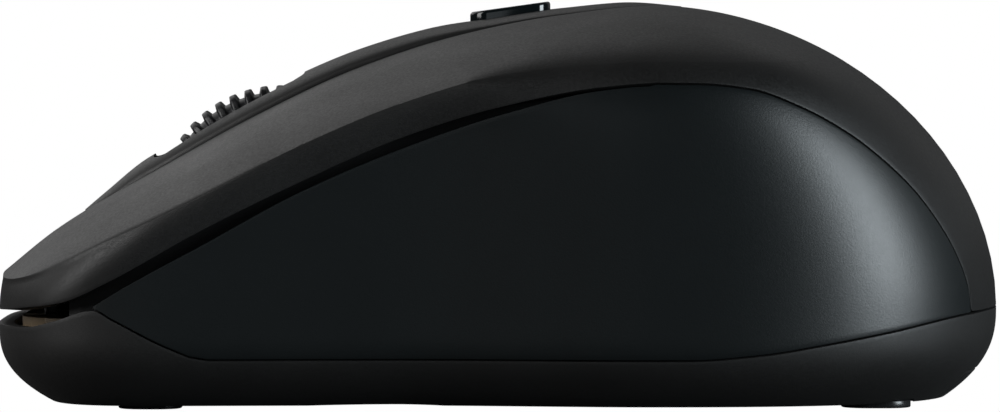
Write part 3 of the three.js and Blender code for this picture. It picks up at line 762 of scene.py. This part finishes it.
def make_dpi_button():
    outline = rounded(DPI_X, 0, DPI_LENGTH, DPI_WIDTH, DPI_WIDTH / 2 - 0.01, 12)
    pill = prism("dpi_pill", outline, 36.4, 39.05)
    for vertex in pill.data.vertices:
        if vertex.co.z > 37 * MM:
            vertex.co.z += (vertex.co.x - DPI_X * MM) * math.tan(DPI_SLOPE)
    bevelled(pill, 0.32, 4)
    make_piece(pill, "gloss_black", "dpi_button", "dpi_button")


def make_gap_skirts():
    """The inner wall that closes the view into the case behind the open line under the buttons."""
    rows = []
    for station in STATIONS[:FRONT_COUNT + 1]:
        wall = station[:WALL_COUNT]
        if wall[40][0] < -41.5:
            continue
        start, end = crossing(wall, lambda x: grip_edge(x) - 2.2), crossing(wall, lambda x: button_edge(x) + 1.2)
        if start is None or end is None:
            continue
        rows.append([(x, y - 2.3, z) for x, y, z in run(wall, start, end, 8)])
    for side, name in ((-1, "left_inner_wall"), (1, "right_inner_wall")):
        skirt = sheet(name, rows, mirror=side > 0)
        thicken(skirt, 0.6, 0)
        make_piece(skirt, "inner_plastic", "shell")


def dress_nodes():
    """The carried-over CAD nodes get the same quality of material as the new pieces."""
    slots = {row["node"]: row["material_slot"] for row in frame["record"]["subparts"]}
    for node, slot in slots.items():
        obj = frame["nodes"].get(node) if isinstance(frame["nodes"], dict) else None
        if obj is None or not hasattr(obj, "material_slots"):
            continue
        for place_in in obj.material_slots:
            place_in.material = MATERIALS[slot]


def make_stage():
    corners = [(-6000, -170, -0.02), (6000, -170, -0.02), (6000, 30000, -0.02), (-6000, 30000, -0.02)]
    floor = mesh_object("floor", corners, [(0, 1, 2, 3)])
    material = bpy.data.materials.new("pale_floor")
    material.use_nodes = True
    nodes, links = material.node_tree.nodes, material.node_tree.links
    bsdf = nodes["Principled BSDF"]
    bsdf.inputs["Base Color"].default_value = (0.1, 0.1, 0.1, 1)
    bsdf.inputs["Roughness"].default_value = 0.9
    glow, path, mix = (nodes.new("ShaderNode" + kind) for kind in ("Emission", "LightPath", "MixShader"))
    glow.inputs["Color"].default_value = (1, 1, 1, 1)
    glow.inputs["Strength"].default_value = 1.0
    links.new(path.outputs["Is Camera Ray"], mix.inputs["Fac"])
    links.new(bsdf.outputs["BSDF"], mix.inputs[1])
    links.new(glow.outputs["Emission"], mix.inputs[2])
    links.new(mix.outputs["Shader"], nodes["Material Output"].inputs["Surface"])
    floor.data.materials.append(material)


def area_light(name, place_at, aim, size, power, color=(1, 1, 1)):
    data = bpy.data.lights.new(name, "AREA")
    data.shape = "RECTANGLE"
    data.size, data.size_y = size[0] * MM, size[1] * MM
    data.energy = power
    data.color = color
    lamp = new_object(name, data)
    lamp.location = Vector(place_at) * MM
    lamp.rotation_euler = (Vector(aim) - Vector(place_at)).to_track_quat("-Z", "Y").to_euler()


def make_lights():
    cool = (0.86, 0.95, 1.0)
    area_light("key_softbox", (-230, 290, 250), (-25, 0, 20), (420, 340), 0.36)
    area_light("top_softbox", (60, 310, 290), (10, 0, 30), (240, 300), 0.06)
    area_light("rim_softbox", (290, 300, 200), (25, 0, 20), (300, 300), 0.055)
    area_light("nose_softbox", (-375, -170, 205), (-42, -20, 14), (220, 270), 1.0)
    area_light("grip_softbox", (403, -189, 80), (36, -24, 16), (180, 230), 2.0, cool)
    area_light("front_fill", (-170, -1000, 150), (0, -20, 18), (280, 220), 0.13, cool)
    world = bpy.data.worlds.new("studio")
    bpy.context.scene.world = world
    world.use_nodes = True
    nodes, links = world.node_tree.nodes, world.node_tree.links
    dim, bright = nodes["Background"], nodes.new("ShaderNodeBackground")
    dim.inputs["Color"].default_value = (1, 1, 1, 1)
    dim.inputs["Strength"].default_value = 0.02
    bright.inputs["Strength"].default_value = 1.0
    bright.inputs["Color"].default_value = (1, 1, 1, 1)
    path, mix = nodes.new("ShaderNodeLightPath"), nodes.new("ShaderNodeMixShader")
    links.new(path.outputs["Is Camera Ray"], mix.inputs["Fac"])
    links.new(dim.outputs["Background"], mix.inputs[1])
    links.new(bright.outputs["Background"], mix.inputs[2])
    links.new(mix.outputs["Shader"], nodes["World Output"].inputs["Surface"])


def make_camera():
    distance, elevation, aim_z = 700, math.radians(1.75), 19.13
    data = bpy.data.cameras.new("camera")
    data.sensor_width = 36
    data.lens = 36 * distance / 100
    data.clip_end = 60
    camera = new_object("camera", data)
    aim = Vector((0.075, 0, aim_z)) * MM
    camera.location = aim + Vector((0, -math.cos(elevation), math.sin(elevation))) * distance * MM
    camera.rotation_euler = (aim - camera.location).to_track_quat("-Z", "Y").to_euler()
    bpy.context.scene.camera = camera


bpy.context.scene.view_settings.view_transform = "Standard"
make_camera()
make_lights()
make_stage()
dress_nodes()
make_palm()
make_buttons()
make_button_details()
make_grips()
make_base()
make_feet()
make_door()
make_strip()
make_tyre()
make_dpi_button()
make_gap_skirts()
